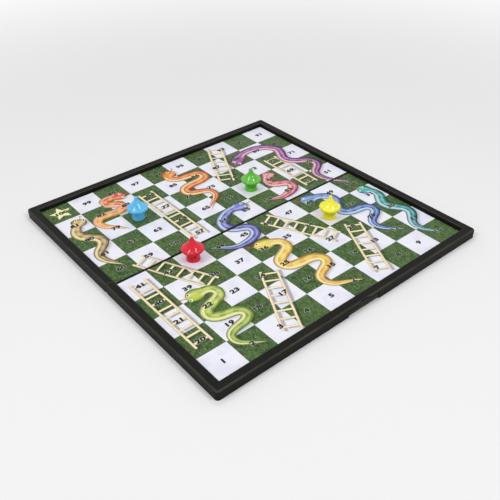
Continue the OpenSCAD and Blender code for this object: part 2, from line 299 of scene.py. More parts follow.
def add_node(kind, sources=(), tree=None, **settings):
    """One node with its settings and what its inputs take, in the given tree or in that of a source."""
    given = sources.values() if isinstance(sources, dict) else sources
    if tree is None:
        tree = next(source.id_data for source in given if isinstance(source, bpy.types.NodeSocket))
    node = tree.nodes.new(kind)
    for name, value in settings.items():
        setattr(node, name, value)
    feed(node.inputs, sources)
    return node


def result(kind, sources=(), tree=None, **settings):
    """The first output of a new node."""
    return add_node(kind, sources, tree, **settings).outputs[0]


def maths(operation, *numbers):
    """A Math node's result."""
    return result("ShaderNodeMath", numbers, operation=operation)


def product(first, second):
    """Two numbers multiplied."""
    return maths("MULTIPLY", first, second)


def blend(factor, first, second):
    """Two colours mixed by a factor; a Mix node takes its colours by the inputs 6 and 7."""
    return add_node("ShaderNodeMix", {0: factor, 6: first, 7: second}, data_type="RGBA").outputs[2]


def span(value, low, high, new_low=0.0, new_high=1.0):
    """A value led smoothly from one range to another."""
    limits = (value, low, high, new_low, new_high)
    return result("ShaderNodeMapRange", limits, interpolation_type="SMOOTHSTEP")


def noise(place, scale, **more):
    """A Noise Texture's value; more sets its other inputs by name."""
    return result("ShaderNodeTexNoise", {"Vector": place, "Scale": scale, **more})


def split(vector):
    """The three numbers of a vector."""
    return add_node("ShaderNodeSeparateXYZ", (vector,)).outputs


def joined(*numbers):
    """A vector from up to three numbers."""
    return result("ShaderNodeCombineXYZ", numbers)


def kept(place, name):
    """A number kept on the mesh as an attribute, for the material that a place belongs to."""
    return add_node("ShaderNodeAttribute", tree=place.id_data, attribute_name=name).outputs["Fac"]


def bump(height, strength, distance):
    """A normal from a height."""
    return result("ShaderNodeBump", {"Height": height, "Strength": strength, "Distance": distance})


def new_tree(name, family, takes, gives):
    """A node tree with named sockets, what comes in by them and where its results go."""
    tree = bpy.data.node_groups.new(name, family)
    for side, sockets in (("INPUT", takes), ("OUTPUT", gives)):
        for label, kind in sockets.items():
            tree.interface.new_socket(name=label, in_out=side, socket_type=f"NodeSocket{kind}")
    inner, outer = (add_node(kind, tree=tree) for kind in ("NodeGroupInput", "NodeGroupOutput"))
    return tree, inner.outputs, outer.inputs


def effect(takes, gives):
    """Makes a shader node group of a function that draws it from its inputs, at the group's first use."""

    def wrap(draw):
        name = draw.__name__.replace("_", " ").capitalize()

        @functools.wraps(draw)
        def place_group(**sources):
            group = bpy.data.node_groups.get(name)
            if group is None:
                group, inner, outer = new_tree(name, "ShaderNodeTree", takes, gives)
                feed(outer, draw(*inner[:-1]))
            return add_node("ShaderNodeGroup", sources, node_tree=group).outputs

        return place_group

    return wrap


def new_material(name):
    """A material with a Principled BSDF, that shader's inputs, and the place in the board's own frame."""
    material = bpy.data.materials.new(name)
    material.use_nodes = True
    tree = material.node_tree
    tree.nodes.clear()
    shader = add_node("ShaderNodeBsdfPrincipled", tree=tree)
    add_node("ShaderNodeOutputMaterial", (shader.outputs[0],))
    return material, shader.inputs, add_node("ShaderNodeTexCoord", tree=tree).outputs["Object"]


# Shared effects


@effect({"Place": "Vector", "Size": "Float"}, {"Grain": "Float", "Patch": "Float"})
def moulded_grain(place, size):
    """Fine grain and slow patches, as on spark-finished moulded plastic."""
    fine = noise(place, maths("DIVIDE", 1.0, size), Detail=3, Roughness=0.6)
    return fine, span(noise(place, 60, Detail=4), 0.35, 0.65)


@effect({"Place": "Vector", "Rough": "Float"}, {"Roughness": "Float", "Height": "Float"})
def print_gloss(place, rough):
    """Uneven gloss and slight waviness of a laminated print."""
    change = maths("MULTIPLY_ADD", noise(place, 35, Detail=3), 0.12, -0.06)
    return maths("ADD", rough, change), noise(place, 900, Detail=2)


@effect({"Across": "Float", "Color": "Color", "Edge": "Color", "Gleam": "Float"}, {"Color": "Color"})
def rounded_paint(across, colour, edge, strength):
    """Airbrushed shading across a band: a dark edge, its own colour, and a light line off the middle."""
    shaded = blend(span(maths("ABSOLUTE", across), 0.28, 0.5, 0.0, 0.9), colour, edge)
    line = maths("ABSOLUTE", maths("ADD", across, 0.16))
    gleam = product(span(line, 0.0, 0.16, 1.0, 0.0), strength)
    return (blend(gleam, shaded, (1, 1, 1)),)


@effect({"Place": "Vector", "Stretch": "Vector"}, {"Lines": "Float", "Patch": "Float"})
def rolled_metal(place, stretch):
    """Fine drawn lines and slight spread of gloss on bright metal."""
    pulled = result("ShaderNodeVectorMath", (place, stretch), operation="MULTIPLY")
    return noise(pulled, 1.0, Detail=4), noise(place, 120)


def checker(place):
    """Where the green squares are, where the border runs, and a shade for each square."""
    x, y, _ = split(place)
    plan = (x, maths("SUBTRACT", y, product(maths("SIGN", y), FOLD_EDGE)))
    cells = [maths("FLOOR", maths("DIVIDE", spot, SQUARE)) for spot in plan]
    odd = maths("FLOORED_MODULO", maths("ADD", *cells), 2.0)
    out = maths("MAXIMUM", *(maths("ABSOLUTE", spot) for spot in plan))
    chance = add_node("ShaderNodeTexWhiteNoise", {"Vector": joined(*cells)})
    return maths("GREATER_THAN", odd, 0.5), maths("GREATER_THAN", out, FIELD), chance.outputs["Value"]


def grass(place, deep, middle, light):
    """Printed grass seen from above: short blades in three greens."""
    blades = []
    for turn, scale in ((0.5, 1.0), (-0.35, 1.35)):
        lie = result("ShaderNodeMapping", {
            "Vector": place, "Rotation": (0, 0, turn),
            "Scale": (1500 * scale, 560 * scale, 560 * scale),
        })
        blades.append(noise(lie, 1.0, Detail=3, Distortion=0.6))
    ground = blend(span(noise(place, 210, Detail=3), 0.4, 0.56), deep, middle)
    lit = blend(product(span(blades[0], 0.47, 0.64), 0.9), ground, light)
    return blend(product(span(blades[1], 0.5, 0.64), 0.8), lit, deep)


@effect(
    {
        "Place": "Vector", "Pale": "Color", "Wash": "Color", "Deep": "Color", "Middle": "Color",
        "Light": "Color", "Ink": "Color",
    },
    {"Color": "Color"},
)
def printed_squares(place, pale, wash, deep, middle, light, ink):
    """The colours of the whole printed field, border included."""
    green, border, shade = checker(place)
    veil = product(span(noise(place, 90, Detail=4), 0.42, 0.66), 0.8)
    lawn = blend(product(shade, 0.16), grass(place, deep, middle, light), light)
    return (blend(border, blend(green, blend(veil, pale, wash), lawn), ink),)


# Materials


def moulded_plastic(name, settings, grain, rough, depth):
    """Black moulded plastic with a fine grain, uneven gloss and lighter rounded edges: a painted highlight,
    with some wear from handling.
    """
    material, shader, place = new_material(name)
    finish = moulded_grain(Place=place, Size=grain)
    tone = blend(finish["Patch"], settings.plastic, [c * 1.35 + 0.002 for c in settings.plastic])
    # Rounded edges between walls and tops take the lighter edge colour: a painted highlight, partly wear from
    # handling
    up = split(place.node.outputs["Normal"])[2]
    off_wall, off_top = span(up, 0.25, 0.45), span(up, 0.965, 0.995, 1.0, 0.0)
    highlight_and_wear_share = maths("MULTIPLY_ADD", finish["Patch"], 0.35, 0.65)
    gloss = maths("MULTIPLY_ADD", finish["Patch"], 0.08, rough)
    feed(shader, {
        "Base Color": blend(product(product(off_wall, off_top), highlight_and_wear_share), tone, settings.rubbed),
        "Roughness": maths("MULTIPLY_ADD", finish["Grain"], 0.1, gloss),
        "Normal": bump(finish["Grain"], depth, grain * 0.2),
        "Specular IOR Level": 0.09,
    })
    return material


def pawn_plastic(name, colour):
    """Glossy moulded plastic, a little deeper in colour in slow patches, with some light inside it."""
    material, shader, place = new_material(name)
    finish = moulded_grain(Place=place, Size=0.0018)
    feed(shader, {
        "Base Color": blend(finish["Patch"], colour, [c * 0.86 for c in colour]),
        "Roughness": maths("MULTIPLY_ADD", finish["Grain"], 0.05, 0.07),
        "Normal": bump(finish["Grain"], 0.04, 0.0002),
        "Specular IOR Level": 0.42,
        "Subsurface Weight": 0.3,
        "Subsurface Radius": (1.0, 1.0, 1.0),
        "Subsurface Scale": 0.002,
    })
    return material


def bright_metal(name, colour, rough, stretch):
    """Bright rolled or plated metal."""
    material, shader, place = new_material(name)
    finish = rolled_metal(Place=place, Stretch=stretch)
    feed(shader, {
        "Base Color": blend(finish["Patch"], colour, [c * 0.82 for c in colour]),
        "Roughness": maths("MULTIPLY_ADD", finish["Lines"], 0.14, rough),
        "Normal": bump(finish["Lines"], 0.1, 0.00002),
        "Metallic": 1.0,
    })
    return material


def laminated(name, draw, *details):
    """A print under its clear film; draw makes the print's colour at a place."""
    material, shader, place = new_material(name)
    gloss = print_gloss(Place=place, Rough=0.38)
    feed(shader, {
        "Base Color": draw(place, *details),
        "Roughness": gloss["Roughness"],
        "Normal": bump(gloss["Height"], 0.12, 0.00005),
        "Specular IOR Level": 0.14,
    })
    return material


def field_print(place, sheet):
    """The printed squares and their border."""
    return printed_squares(
        Place=place, Pale=sheet.pale, Wash=sheet.pale_wash, Deep=sheet.grass_deep,
        Middle=sheet.grass, Light=sheet.grass_light, Ink=sheet.ink,
    )[0]


def shadow_print(place, sheet):
    """The squares again, darkened towards the middle of a band: a soft printed shadow."""
    depth = span(maths("ABSOLUTE", kept(place, "across")), 0.1, 0.5, 0.5, 0.0)
    return blend(depth, field_print(place, sheet), sheet.ink)


def ink_print(place, colour, spread):
    """Flat printed ink with a slightly uneven density."""
    density = span(noise(place, 1400, Detail=2), 0.4, 0.7)
    return blend(density, colour, [min(c * (1 + spread) + 0.004, 1) for c in colour])


def wood_print(place, ladder):
    """Printed pale wood, shaded towards its edges."""
    across, edge = kept(place, "across"), ladder.wood_edge
    grain = noise(place, 700, Detail=3, Distortion=1.5)
    wood = blend(product(span(grain, 0.48, 0.7), 0.4), ladder.wood, edge)
    return rounded_paint(Across=across, Color=wood, Edge=edge, Gleam=0.35)[0]


def skin_print(place, skin, band, belly, bands):
    """A snake's skin: curved bands, fine scales and a pale belly, shaded across."""
    along, across = kept(place, "along"), kept(place, "across")
    dark = [c * 0.5 for c in band]
    bow = product(product(across, across), 2.2)
    count = maths("SUBTRACT", product(along, bands), bow)
    wave = maths("SINE", product(count, math.tau))
    stripe = product(span(along, 0.1, 0.13), span(wave, 0.0, 0.5))
    body = blend(product(span(along, 0.15, 0.95), 0.6), skin, band)
    tone = blend(product(stripe, 0.6), body, band)
    scales = add_node("ShaderNodeTexVoronoi", {"Vector": place, "Scale": 900}, feature="DISTANCE_TO_EDGE")
    tone = blend(span(scales.outputs["Distance"], 0.0, 0.1, 0.3, 0.0), tone, dark)
    plates = maths("SINE", product(count, math.tau * 4))
    under = blend(span(plates, 0.55, 0.95, 0.0, 0.75), belly, skin)
    side = product(span(across, 0.12, 0.17), span(along, 0.07, 0.1))
    tone = blend(side, tone, under)
    return rounded_paint(Across=across, Color=tone, Edge=dark, Gleam=0.26)[0]


# Mesh helpers


def coat(mesh, material):
    """Makes a material the only one of a mesh."""
    mesh.materials.clear()
    mesh.materials.append(material)


def dress(node, material):
    """Gives a CAD node its material."""
    coat(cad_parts[node].data, material)


def new_object(name, data):
    """An object in the scene, at the origin."""
    made = bpy.data.objects.new(name, data)
    bpy.context.scene.collection.objects.link(made)
    return made


def new_piece(name, mesh, body, material):
    """A finished piece at the origin, riding on its body."""
    mesh.name = name
    coat(mesh, material)
    piece = new_object(name, mesh)
    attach(piece, body)
    return piece


def plain_mesh(name, shape):
    """Turns a mesh in the making into a finished one."""
    mesh = bpy.data.meshes.new(name)
    shape.to_mesh(mesh)
    shape.free()
    return mesh


def evaluated_mesh(source):
    """The plain mesh that a curve or text object makes with its modifiers, without the object itself."""
    bpy.context.view_layer.update()
    graph = bpy.context.evaluated_depsgraph_get()
    mesh = bpy.data.meshes.new_from_object(source.evaluated_get(graph), depsgraph=graph)
    data = source.data
    bpy.data.objects.remove(source)
    bpy.data.curves.remove(data)
    return mesh


def square_of(number):
    """Column and row of a numbered square's middle, in squares from the near left corner."""
    row, step = divmod(number - 1, SQUARES)
    column = step if row % 2 == 0 else SQUARES - 1 - step
    return Vector((column + 0.5, row + 0.5))


def on_board(spot, height=0.0):
    """A spot in squares as a point of the playing face, clear of the strip at the fold."""
    rise = spot[1] * SQUARE - FIELD
    clear = FOLD_EDGE * max(-1.0, min(1.0, rise / (SQUARE / 4)))
    return Vector((spot[0] * SQUARE - FIELD, rise + clear, FACE + height))


def half_of(mesh, half):
    """What a thin printed mesh has on one half, cut at the fold and closed at the cut."""
    shape = bmesh.new()
    shape.from_mesh(mesh)
    side = -1 if half == "near" else 1
    everything = shape.verts[:] + shape.edges[:] + shape.faces[:]
    bmesh.ops.bisect_plane(
        shape, geom=everything, dist=1e-7, plane_co=(0, side * FOLD_EDGE, 0),
        plane_no=(0, side, 0), clear_inner=True,
    )
    open_edges = [e for e in shape.edges if e.is_boundary]
    if open_edges:
        bmesh.ops.holes_fill(shape, edges=open_edges)
    return shape


def print_pieces(name, shapes, material):
    """Turns the shapes on the two halves into pieces of the print, where there are any."""
    if not any(shape.faces for shape in shapes.values()):
        raise RuntimeError(f"{name} lies on neither half")
    for half, shape in shapes.items():
        if shape.faces:
            mesh = plain_mesh(name, shape)
            new_piece(f"{half}_{name}", mesh, f"{half}_half", material)
        else:
            shape.free()


def poly_line(name, lines, smooth=False):
    """A curve object with one spline for each list of points, in metres."""
    data = bpy.data.curves.new(name, "CURVE")
    data.dimensions = "3D"
    data.resolution_u = 24
    for points in lines:
        spline = data.splines.new("BEZIER" if smooth else "POLY")
        knots = spline.bezier_points if smooth else spline.points
        knots.add(len(points) - 1)
        for knot, point in zip(knots, points):
            if smooth:
                knot.co = point
                knot.handle_left_type = knot.handle_right_type = "AUTO"
            else:
                knot.co = (*point, 1)
    return new_object(name, data)


def run_tree(source, tree, values):
    """Puts a Geometry Nodes tree on an object, sets its inputs by name, and returns the plain mesh."""
    modifier = source.modifiers.new("shape", "NODES")
    modifier.node_group = tree
    sockets = {
        item.name: item.identifier
        for item in tree.interface.items_tree
        if item.item_type == "SOCKET" and item.in_out == "INPUT"
    }
    for name, value in values.items():
        modifier[sockets[name]] = value
    return evaluated_mesh(source)


def shape_tree(name, draw, **sizes):
    """A Geometry Nodes tree round what draw makes of it, ended in Realize Instances and Set Material."""
    takes = {"Geometry": "Geometry", **sizes, "Material": "Material"}
    tree, inner, outer = new_tree(name, "GeometryNodeTree", takes, {"Geometry": "Geometry"})
    real = result("GeometryNodeRealizeInstances", (draw(tree, *inner[:-2]),))
    painted = {"Geometry": real, "Material": inner["Material"]}
    feed(outer, (result("GeometryNodeSetMaterial", painted),))
    return tree


def flat_section(tree, width, height):
    """A flat four-sided section."""
    sizes = {"Width": width, "Height": height}
    return result("GeometryNodeCurvePrimitiveQuadrilateral", sizes, tree)


def keep(geometry, name, field):
    """Keeps a number on a geometry's points, under a name."""
    sources = {"Geometry": geometry, "Name": name, "Value": field}
    return result("GeometryNodeStoreNamedAttribute", sources)


def upright(curve):
    """Turns a curve's normals so that a section lies flat on the board."""
    return result("GeometryNodeSetCurveNormal", (curve,), mode="Z_UP")


def print_band(name, line, tree, values, material, flat):
    """Runs a tree on a curve and prints the result, shaded flat where it is a shadow."""
    mesh = run_tree(line, tree, {**values, "Material": material})
    if flat:
        mesh.shade_flat()
    shapes = {half: half_of(mesh, half) for half in HALVES}
    bpy.data.meshes.remove(mesh)
    print_pieces(name, shapes, material)


def wall(shape, lower, upper):
    """Joins two rings of points with faces."""
    for k in range(len(lower)):
        n = (k + 1) % len(lower)
        shape.faces.new((lower[k], lower[n], upper[n], upper[k]))


def slab(shape, corners, low, high):
    """Adds a thin closed slab over a flat outline to a mesh."""
    lower, upper = ([shape.verts.new((*corner, z)) for corner in corners] for z in (low, high))
    shape.faces.new(reversed(lower))
    shape.faces.new(upper)
    wall(shape, lower, upper)


def circle(middle, radius, sides):
    """Points round a middle, seen from above."""
    turns = (math.tau * k / sides for k in range(sides))
    return [(middle.x + radius * math.cos(t), middle.y + radius * math.sin(t)) for t in turns]


def blank_halves():
    """An empty mesh in the making for each half."""
    return {half: bmesh.new() for half in HALVES}


# Case and metal


class BOARD_OT_dress_case(bpy.types.Operator):
    """Gives the case halves, the hinge links and the clip their moulded plastic"""

    bl_idname = "board.dress_case"
    bl_label = "Dress the case"

    def execute(self, context):
        settings = context.scene.board.case
        case = moulded_plastic("case plastic", settings, settings.grain, 0.42, 0.35)
        hinge = moulded_plastic("hinge plastic", settings, settings.grain * 1.6, 0.34, 0.2)
        for node in ("near_case", "far_case"):
            dress(node, case)
        for node in ("hinge_link_left", "hinge_link_right", "latch_clip"):
            dress(node, hinge)
        return {"FINISHED"}


class BOARD_OT_dress_metal(bpy.types.Operator):
    """Gives the sheets, pins and magnets their metal"""

    bl_idname = "board.dress_metal"
    bl_label = "Dress the metal parts"

    def execute(self, context):
        settings = context.scene.board.metal
        sheet = bright_metal("rolled steel", settings.steel, 0.28, (60, 2400, 2400))
        wire = bright_metal("drawn steel", settings.steel, 0.2, (120, 4000, 4000))
        plating = bright_metal("nickel plating", settings.nickel, 0.12, (900, 900, 900))
        for half in HALVES:
            dress(f"{half}_steel_sheet", sheet)
            dress(f"{half}_pin_left", wire)
            dress(f"{half}_pin_right", wire)
        dress("latch_pin", wire)
        for tint in PAWNS:
            dress(f"{tint}_magnet", plating)
        return {"FINISHED"}


# The print


class BOARD_OT_print_squares(bpy.types.Operator):
    """Prints the squares on the two sheets"""

    bl_idname = "board.print_squares"
    bl_label = "Print the squares"

    def execute(self, context):
        material = laminated("laminated squares", field_print, context.scene.board.sheet)
        for half in HALVES:
            dress(f"{half}_print", material)
        return {"FINISHED"}


def number_mesh(number, sheet, weight):
    """One number as a thin closed mesh, centred on the origin."""
    digit_share, letter_gap = 0.73, 1.06
    data = bpy.data.curves.new(f"number {number}", "FONT")
    data.body = str(number)
    data.align_x = "CENTER"
    data.align_y = "BOTTOM_BASELINE"
    data.resolution_u = 3
    data.space_character = letter_gap
    data.offset = weight
    data.extrude = 0.5
    mesh = evaluated_mesh(new_object(data.name, data))
    scale = sheet.digit_height / digit_share
    mesh.transform(Matrix.Translation((0, -digit_share / 2, 0)))
    mesh.transform(Matrix.Diagonal((scale * sheet.digit_stretch, scale, sheet.film, 1)))
    return mesh


def number_layer(name, numbers, sheet, weight, lift, material):
    """Prints one layer of the numbers, as one piece on each half."""
    merge, sliver = 2e-7, 1e-8
    shapes = blank_halves()
    for number in numbers:
        spot = square_of(number)
        mesh = number_mesh(number, sheet, weight)
        mesh.transform(Matrix.Translation(on_board(spot, sheet.film * lift)))
        shapes["near" if spot.y < SQUARES / 2 else "far"].from_mesh(mesh)
        bpy.data.meshes.remove(mesh)
    for shape in shapes.values():
        bmesh.ops.remove_doubles(shape, verts=shape.verts, dist=merge)
        bmesh.ops.dissolve_degenerate(shape, edges=shape.edges, dist=sliver)
    print_pieces(name, shapes, material)


class BOARD_OT_print_numbers(bpy.types.Operator):
    """Prints the numbers from 1 up, with a pale edge on the green squares"""

    bl_idname = "board.print_numbers"
    bl_label = "Print the numbers"

    def execute(self, context):
        sheet = context.scene.board.sheet
        numbers = range(1, SQUARES * SQUARES + 1)
        halo = laminated("halo ink", ink_print, sheet.halo, 0.3)
        weight = sheet.digit_weight
        number_layer("number_halos", numbers[1::2], sheet, weight * HALO_WEIGHT, HALO_LIFT, halo)
        ink = laminated("black ink", ink_print, sheet.ink, 0.5)
        number_layer("numbers", numbers, sheet, weight, NUMBER_LIFT, ink)
        return {"FINISHED"}


def draw_ladder(tree, line, width, rail, rung, step, film):
    """Two rails and evenly spaced rungs along each straight line."""
    first, last, rung_tuck, rung_film = 0.05, 0.95, 0.8, 0.7
    x = split(result("GeometryNodeInputPosition", tree=tree))[0]
    section = keep(flat_section(tree, rail, film), "across", maths("DIVIDE", x, rail))
    level = upright(line)
    parts = add_node("GeometryNodeJoinGeometry", tree=tree)
    for side in (-0.5, 0.5):
        shift = joined(product(width, side))
        aside = result("GeometryNodeTransform", {"Geometry": section, "Translation": shift})
        tube = {"Curve": level, "Profile Curve": aside, "Fill Caps": True}
        feed(parts.inputs, (result("GeometryNodeCurveToMesh", tube),))
    trimmed = result("GeometryNodeTrimCurve", {"Curve": line, "Start": first, "End": last})
    spaced = result("GeometryNodeResampleCurve", {"Curve": trimmed, "Length": step}, mode="LENGTH")
    reach = maths("ADD", width, product(rail, -rung_tuck))
    bar = result("GeometryNodeMeshCube", {"Size": joined(rung, reach, product(film, rung_film))})
    bar = keep(bar, "across", maths("DIVIDE", x, rung))
    tangent = result("GeometryNodeInputTangent", tree=tree)
    heading = result("FunctionNodeAlignRotationToVector", {"Vector": tangent}, axis="X")
    rungs = {"Points": spaced, "Instance": bar, "Rotation": heading}
    feed(parts.inputs, (result("GeometryNodeInstanceOnPoints", rungs),))
    return parts.outputs[0]


class BOARD_OT_print_ladders(bpy.types.Operator):
    """Prints the ladders"""

    bl_idname = "board.print_ladders"
    bl_label = "Print the ladders"

    def execute(self, context):
        settings, sheet = context.scene.board.ladder, context.scene.board.sheet
        beyond = 0.2
        lines = []
        for low, high, aside in LADDERS:
            foot, head = square_of(low), square_of(high)
            climb = (head - foot).normalized()
            shift = Vector((climb.y, -climb.x)) * aside
            lines.append((foot + shift - climb * beyond, head + shift + climb * beyond))
        sizes = {name: "Float" for name in ("Width", "Rail", "Rung", "Step", "Film")}
        tree = shape_tree("Ladder", draw_ladder, **sizes)
        shadow = laminated("printed shadow", shadow_print, sheet)
        wood = laminated("printed wood", wood_print, settings)
        for name, widen, push, lift, material in (
            ("ladder_shadows", LADDER_SHADOW_WIDTH, SHADOW_PUSH, 0.0, shadow),
            ("ladders", 1.0, Vector((0, 0)), LADDER_LIFT, wood),
        ):
            ends = [[on_board(spot + push, sheet.film * lift) for spot in line] for line in lines]
            values = {
                "Width": settings.width, "Rail": settings.rail * widen, "Rung": settings.rung * widen,
                "Step": settings.step, "Film": sheet.film,
            }
            print_band(name, poly_line(name, ends), tree, values, material, material == shadow)
        return {"FINISHED"}


def even_out(field, kind, times, weight=1.0):
    """A field blurred along a curve."""
    blur = {"Value": field, "Iterations": times, "Weight": weight}
    return result("GeometryNodeBlurAttribute", blur, data_type=kind)


def bend_radius(tree, rings):
    """Radius of the bend at each point of an evenly cut curve, in metres."""
    index = result("GeometryNodeInputIndex", tree=tree)
    after = maths("MINIMUM", maths("ADD", index, 1.0), maths("SUBTRACT", rings, 1.0))
    before = maths("MAXIMUM", maths("SUBTRACT", index, 1.0), 0.0)
    changes = []
    for kind in ("GeometryNodeInputPosition", "GeometryNodeInputTangent"):
        field = result(kind, tree=tree)
        ends = [
            result("GeometryNodeFieldAtIndex", {"Value": field, "Index": k}, data_type="FLOAT_VECTOR")
            for k in (after, before)
        ]
        changes.append(add_node("ShaderNodeVectorMath", ends, operation="DISTANCE"))
    step, turn = (change.outputs["Value"] for change in changes)
    bend = even_out(maths("DIVIDE", turn, step), "FLOAT", 2)
    return maths("DIVIDE", 1.0, maths("MAXIMUM", bend, 1.0))


def taper(along):
    """The snake's half width at a place along it, as a share."""
    node = add_node("ShaderNodeFloatCurve", {"Value": along})
    curve = node.mapping.curves[0]
    while len(curve.points) < len(SNAKE_TAPER):
        curve.points.new(0.5, 0.5)
    for point, knot in zip(curve.points, SNAKE_TAPER):
        point.location = knot
    node.mapping.update()
    return node.outputs[0]


def draw_snake(tree, line, width, rings, film, face):
    """A flat body along a smooth path, wide at the head and fine at the tail."""
    ease_times, bend_share, slope = 14, 0.88, 0.4
    position = result("GeometryNodeInputPosition", tree=tree)
    x, y, z = split(position)
    line = result("GeometryNodeResampleCurve", {"Curve": line, "Count": rings})
    along = add_node("GeometryNodeSplineParameter", tree=tree).outputs["Factor"]
    inside = product(span(along, 0.0, 0.05), span(along, 0.95, 1.0, 1.0, 0.0))
    eased = even_out(position, "FLOAT_VECTOR", ease_times, inside)
    line = result("GeometryNodeSetPosition", {"Geometry": line, "Position": eased})
    line = keep(upright(line), "along", along)
    bend = product(bend_radius(tree, rings), bend_share)
    radius = maths("MINIMUM", product(taper(along), width), bend)
    line = result("GeometryNodeSetCurveRadius", {"Curve": line, "Radius": radius})
    section = keep(flat_section(tree, 2.0, 2.0), "across", product(x, 0.5))
    scale = result("GeometryNodeInputRadius", tree=tree)
    tube = {"Curve": line, "Profile Curve": section, "Scale": scale, "Fill Caps": True}
    body = result("GeometryNodeCurveToMesh", tube)
    run = result("GeometryNodeInputNamedAttribute", {"Name": "along"}, tree)
    share = maths("ADD", maths("GREATER_THAN", z, face), maths("MULTIPLY_ADD", run, slope, -0.5))
    height = maths("ADD", face, product(film, share))
    return result("GeometryNodeSetPosition", {"Geometry": body, "Position": joined(x, y, height)})


def draw_face(parts, nose, neck, settings, film):
    """Adds a snake's two eyes and its forked tongue to the parts of one half."""
    wide, eye = settings.width, settings.eye
    ahead = (nose - neck).normalized()
    aside = Vector((-ahead.y, ahead.x))
    low, high = FACE + film * SNAKE_LIFT, FACE + film * EYE_LIFT
    thin = aside * (wide * TONGUE_HALF_WIDTH)
    root, fork = nose - ahead * wide * TONGUE_ROOT, nose + ahead * wide * TONGUE_FORK
    for side in (-1, 1):
        middle = nose - ahead * wide * EYE_BACK + aside * side * wide * EYE_ASIDE
        look = middle + ahead * eye * PUPIL_AHEAD
        slab(parts["eye"], circle(middle, eye, EYE_SIDES), low, high)
        slab(parts["pupil"], circle(look, eye * PUPIL_RADIUS, EYE_SIDES), low, high + film * PUPIL_RISE)
        tip = nose + ahead * wide * TONGUE_TIP + aside * side * wide * TONGUE_ASIDE
        prong = (root - thin, root + thin, fork + thin, tip, fork - thin)
        slab(parts["tongue"], prong, FACE, FACE + film * (TONGUE_LIFT + PRONG_STEP * side))


def small_print(name, shapes, material):
    """Turns small slabs on the two halves into pieces, with their faces outwards."""
    for shape in shapes.values():
        bmesh.ops.recalc_face_normals(shape, faces=shape.faces)
    print_pieces(name, shapes, material)


class BOARD_OT_print_snakes(bpy.types.Operator):
    """Prints the snakes with their eyes and tongues"""

    bl_idname = "board.print_snakes"
    bl_label = "Print the snakes"

    def execute(self, context):
        settings, sheet = context.scene.board.snake, context.scene.board.sheet
        sizes = {"Width": "Float", "Rings": "Int", "Film": "Float", "Face": "Float"}
        tree = shape_tree("Snake", draw_snake, **sizes)
        shadow = laminated("printed shadow", shadow_print, sheet)
        parts = {part: blank_halves() for part in ("eye", "pupil", "tongue")}
        for order, (name, skin, band, belly, bands, path) in enumerate(SNAKES):
            tints = (paint(*tint) for tint in (skin, band, belly))
            skin_material = laminated(f"{name} snake print", skin_print, *tints, bands)
            shadow_lift = SNAKE_SHADOW_LIFT + order * SNAKE_SHADOW_STEP
            for part, widen, push, lift, material in (
                ("shadow", SNAKE_SHADOW_WIDTH, SHADOW_PUSH, shadow_lift, shadow),
                ("snake", 1.0, Vector((0, 0)), SNAKE_LIFT, skin_material),
            ):
                line = [on_board(Vector(spot) + push) for spot in path]
                values = {
                    "Width": settings.width * widen, "Rings": settings.rings, "Film": sheet.film,
                    "Face": FACE + sheet.film * lift,
                }
                name_part = f"{name}_{part}"
                curve = poly_line(name_part, [line], smooth=True)
                print_band(name_part, curve, tree, values, material, material == shadow)
            half = "near" if line[0].y < 0 else "far"
            shapes = {part: halves[half] for part, halves in parts.items()}
            draw_face(shapes, line[0].xy, line[1].xy, settings, sheet.film)
        for part, tint, spread in (
            ("eye", paint(250, 244, 214), 0.1),
            ("pupil", sheet.ink, 0.4),
            ("tongue", paint(206, 40, 52), 0.3),
        ):
            small_print(f"snake_{part}s", parts[part], laminated(f"{part} ink", ink_print, tint, spread))
        return {"FINISHED"}


class BOARD_OT_print_star(bpy.types.Operator):
    """Prints a plain star on the last square"""

    bl_idname = "board.print_star"
    bl_label = "Print the star"

    def execute(self, context):
        sheet = context.scene.board.sheet
        points, tip, notch = 5, 0.4, 0.19
        middle = on_board(square_of(SQUARES * SQUARES)).xy
        corners = []
        for k in range(points * 2):
            turn = math.pi / 2 + math.pi * k / points
            reach = SQUARE * (notch if k % 2 else tip)
            corners.append(middle + Vector((math.cos(turn), math.sin(turn))) * reach)
        shapes = blank_halves()
        slab(shapes["far"], corners, FACE, FACE + sheet.film * STAR_LIFT)
        small_print("goal_star", shapes, laminated("star ink", ink_print, paint(240, 232, 176), 0.2))
        return {"FINISHED"}


# Pawns


def arc(middle, reach, first, last, steps):
    """Points of an ellipse from one turn to just before another, in quarter turns."""
    turns = (math.pi / 2 * (first + (last - first) * k / steps) for k in range(steps))
    return [(middle[0] + reach[0] * math.cos(t), middle[1] + reach[1] * math.sin(t)) for t in turns]


def sweep(start, end, power, steps):
    """Points of a curve that rises evenly and closes in fast at first; the first isn't given."""
    shares = (k / steps for k in range(1, steps + 1))
    return [
        (end[0] + (start[0] - end[0]) * (1 - t) ** power, start[1] + (end[1] - start[1]) * t)
        for t in shares
    ]


def pawn_outline(height, brim):
    """Radius and height of a pawn's outside, from the foot's edge to just under the tip, in metres."""
    waist_top, low, top = height * WAIST_TOP, height * BRIM_LOW, height * BRIM_TOP
    edge = brim - BRIM_ROUND
    return (
        arc((FOOT - FOOT_ROUND, FOOT_ROUND), (FOOT_ROUND, FOOT_ROUND), -1, 0, 8)
        + [(FOOT, FOOT_ROUND)]
        + sweep((FOOT, FOOT_ROUND), (WAIST, waist_top), BODY_POWER, 30)
        + arc((edge, waist_top), (WAIST - edge, low - waist_top), 0, 1, 16)[1:]
        + arc((edge, (low + top) / 2), (BRIM_ROUND, (top - low) / 2), -1, 1, 32)
        + [(edge, top)]
        + sweep((edge, top), (TIP, height - TIP), SPIRE_POWER, 36)
        + arc((0, height - TIP), (TIP, TIP), 0, 1, 12)[1:]
    )


